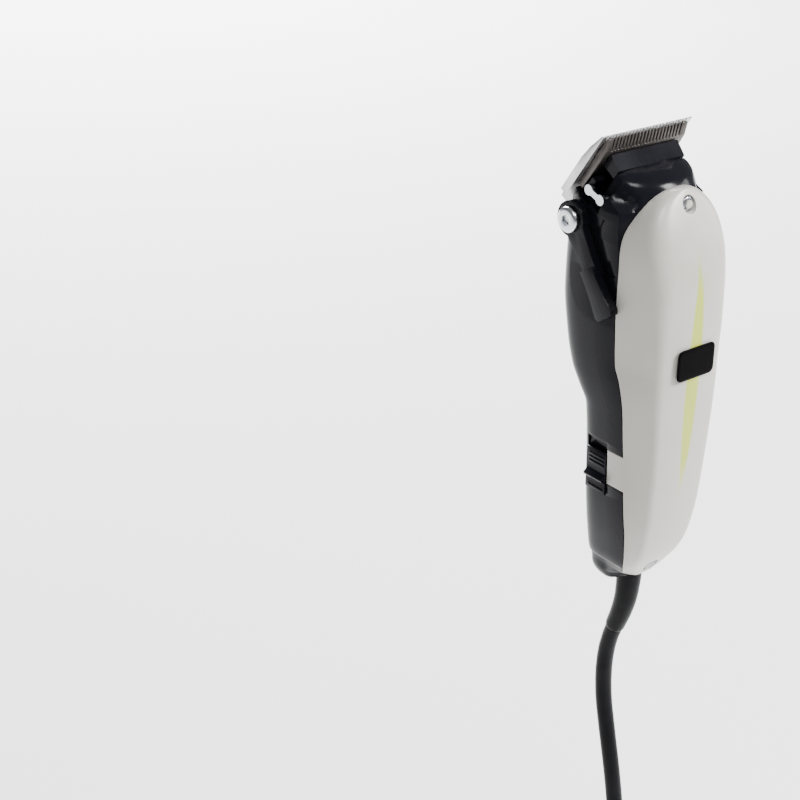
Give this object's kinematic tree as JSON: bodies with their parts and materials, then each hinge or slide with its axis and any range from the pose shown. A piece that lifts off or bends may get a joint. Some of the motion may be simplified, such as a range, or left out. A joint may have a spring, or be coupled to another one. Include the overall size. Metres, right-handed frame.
{
  "type": "corded hair clipper",
  "caption": "Corded hair clipper with a vibrating-arm motor, an adjustable steel blade pair, a side taper lever, a slide switch and a two-shell body.",
  "frame": {"origin": "middle of the waist behind the motor housing, on the clipper's mid-plane, where a fork holder carries it", "axes": "+Z along the body towards the blades, -Y out of the cream cover, -X out of the taper lever's side"},
  "size_m": [0.06, 0.0632, 0.5789],
  "materials": {
    "cream_plastic": "satin moulded plastic",
    "black_plastic": "smooth glossy moulding",
    "badge_black": "gloss, blank",
    "blade_steel": "ground steel",
    "dark_blade_steel": "dark ground steel",
    "screw_steel": "bright plated",
    "laminated_steel": "stacked sheets",
    "copper_winding": "enamelled copper wire",
    "bobbin_plastic": "matte",
    "die_cast_alloy": "as cast",
    "brass": "stamped",
    "cord_black": "flexible PVC, matte",
    "lead_brown": "wire insulation",
    "lead_blue": "wire insulation",
    "lead_white": "wire insulation"
  },
  "bodies": {
    "housing": {"bottom_housing": "black_plastic", "top_cover": "cream_plastic", "name_badge": "badge_black", "front_cover_screw": "screw_steel", "rear_cover_screw": "screw_steel", "fixed_blade": "blade_steel", "blade_screw_left": "screw_steel", "blade_screw_right": "screw_steel", "stator_core": "laminated_steel", "coil_bobbin": "bobbin_plastic", "coil": "copper_winding", "core_screw_rear": "screw_steel", "core_screw_front": "screw_steel", "arm_pivot_pin": "screw_steel", "arm_bracket": "die_cast_alloy", "bracket_screw": "screw_steel", "return_spring_left": "screw_steel", "return_spring_right": "screw_steel", "switch_block": "bobbin_plastic", "switch_contact": "brass", "lead_line": "lead_brown", "lead_neutral": "lead_blue", "lead_switch": "lead_white", "strain_relief": "cord_black", "power_cord": "cord_black", "cord_hank": "cord_black", "cord_end": "cord_black", "cord_tie": "cord_black", "plug_body": "cord_black", "plug_pin_left": "screw_steel", "plug_pin_right": "screw_steel"},
    "blade_carriage": {"blade_guide": "black_plastic", "blade_spring": "screw_steel", "guide_link": "screw_steel"},
    "moving_blade": {"moving_blade": "dark_blade_steel"},
    "taper_lever": {"taper_lever": "black_plastic", "lever_shaft": "die_cast_alloy", "lever_screw": "screw_steel"},
    "drive_arm": {"drive_arm": "die_cast_alloy", "armature": "laminated_steel", "arm_finger": "black_plastic"},
    "power_switch": {"switch_slider": "black_plastic"},
    "power_screw": {"power_screw": "screw_steel"}
  },
  "joints": [
    {"name": "lever_pivot", "type": "hinge", "parent": "housing", "child": "taper_lever", "pos_m": [-0.0218, 0.0214, 0.0621], "axis": [1, 0, 0], "range_deg": [0, 45]},
    {"name": "carriage_slide", "type": "slide", "parent": "housing", "child": "blade_carriage", "axis": [0, 0.5736, -0.8192], "range_m": [0, 0.0017]},
    {"name": "cutter_slide", "type": "slide", "parent": "blade_carriage", "child": "moving_blade", "axis": [1, 0, 0], "range_m": [-0.0016, 0.0016]},
    {"name": "arm_swing", "type": "hinge", "parent": "housing", "child": "drive_arm", "pos_m": [-0.008, 0.0035, -0.014], "axis": [0, 1, 0], "range_deg": [-1, 1], "stiffness_Nm_per_rad": 2, "deforming": ["return_spring_left", "return_spring_right"]},
    {"name": "switch_slide", "type": "slide", "parent": "housing", "child": "power_switch", "axis": [0, 0, 1], "range_m": [0, 0.004]},
    {"name": "power_adjust", "type": "hinge", "parent": "housing", "child": "power_screw", "pos_m": [0.0244, 0.0035, 0.05], "axis": [1, 0, 0], "range_deg": [-180, 180]}
  ],
  "couplings": [
    {"joint": "lever_pivot", "follows": "carriage_slide", "rad_per_m": 463},
    {"joint": "cutter_slide", "follows": "arm_swing", "m_per_rad": 0.0915}
  ]
}
